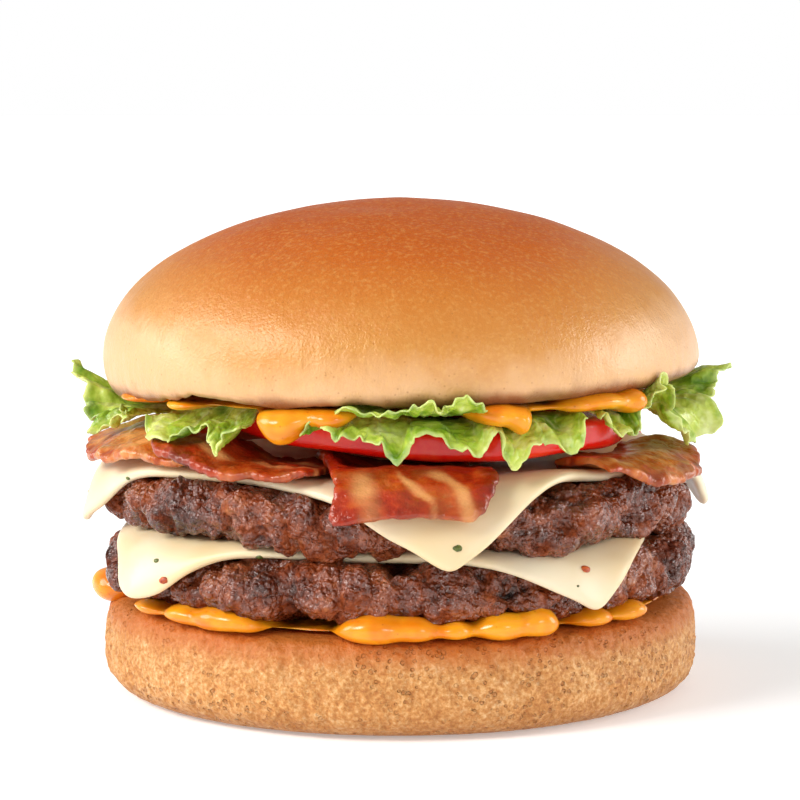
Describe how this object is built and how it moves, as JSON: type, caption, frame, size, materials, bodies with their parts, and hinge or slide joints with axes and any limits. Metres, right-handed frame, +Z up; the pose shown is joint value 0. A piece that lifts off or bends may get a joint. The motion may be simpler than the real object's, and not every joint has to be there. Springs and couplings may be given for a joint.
{
  "type": "double cheeseburger",
  "caption": "Double cheeseburger with bacon, tomato, lettuce and orange sauce between the halves of a round bun, standing on its flat heel.",
  "frame": {"origin": "middle of the flat underside of the bun's heel", "axes": "+Z up through the layers, -Y towards the side that the picture shows, +X to that side's right"},
  "size_m": [0.118, 0.1134, 0.0856],
  "materials": {
    "crust": "softly glossy baked crust",
    "crumb": "matt, finely pitted toasted bun side",
    "beef": "craggy grilled mince, moist",
    "cheese": "smooth softened cheese with small flecks",
    "bacon": "fried, glossy, streaked with fat",
    "tomato": "wet",
    "lettuce": "waxy leaf",
    "sauce": "thick glossy sauce"
  },
  "bodies": {
    "root": {"bun_heel": "crumb", "sauce_lower": "sauce", "patty_lower": "beef", "cheese_lower": "cheese", "patty_upper": "beef", "cheese_upper": "cheese", "bacon_left": "bacon", "bacon_front_left": "bacon", "bacon_back": "bacon", "bacon_right": "bacon", "bacon_front": "bacon", "tomato_back": "tomato", "tomato_front": "tomato", "lettuce_left": "lettuce", "lettuce_front_left": "lettuce", "lettuce_front": "lettuce", "lettuce_frill": "lettuce", "lettuce_front_right": "lettuce", "lettuce_right": "lettuce", "lettuce_back_right": "lettuce", "lettuce_back_left": "lettuce", "sauce_upper": "sauce", "bun_crown": "crust"}
  },
  "joints": []
}
